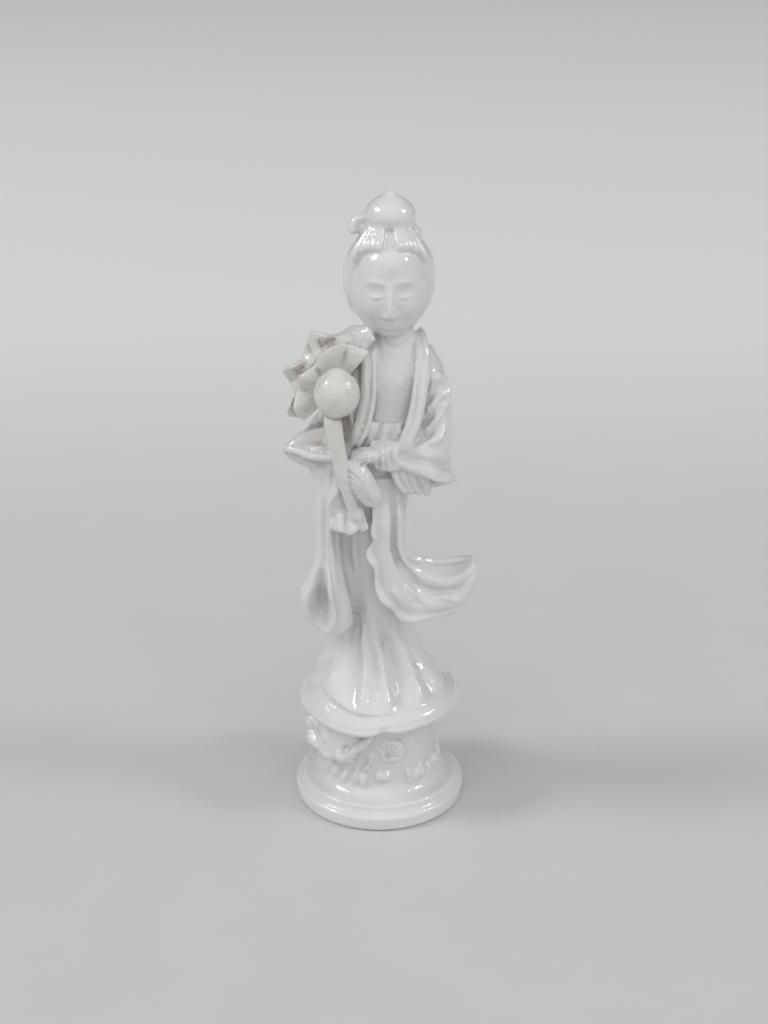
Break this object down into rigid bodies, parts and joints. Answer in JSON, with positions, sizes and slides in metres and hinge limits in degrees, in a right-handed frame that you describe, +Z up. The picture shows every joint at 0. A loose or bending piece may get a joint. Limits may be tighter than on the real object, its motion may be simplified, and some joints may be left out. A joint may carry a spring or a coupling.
{
  "type": "guanyin figure",
  "caption": "Standing robed guanyin figure holding a lotus bud and leaf, glazed porcelain, cast in one with a round stepped plinth",
  "frame": {"origin": "The centre of the plinth's flat round underside, on the surface that the figure stands on.", "axes": "+Z up through the figure, -Y out of its front, so that the face, the lotus bud and the open side of the sleeves look towards -Y; +X to the side of the swinging sash end."},
  "size_m": [0.0486, 0.0447, 0.16],
  "materials": {
    "white_porcelain": "glossy white glaze, slightly blue, with grey-brown dirt in the deep folds and on the leaf"
  },
  "bodies": {
    "root": {"guanyin_figure": "white_porcelain"}
  },
  "joints": []
}
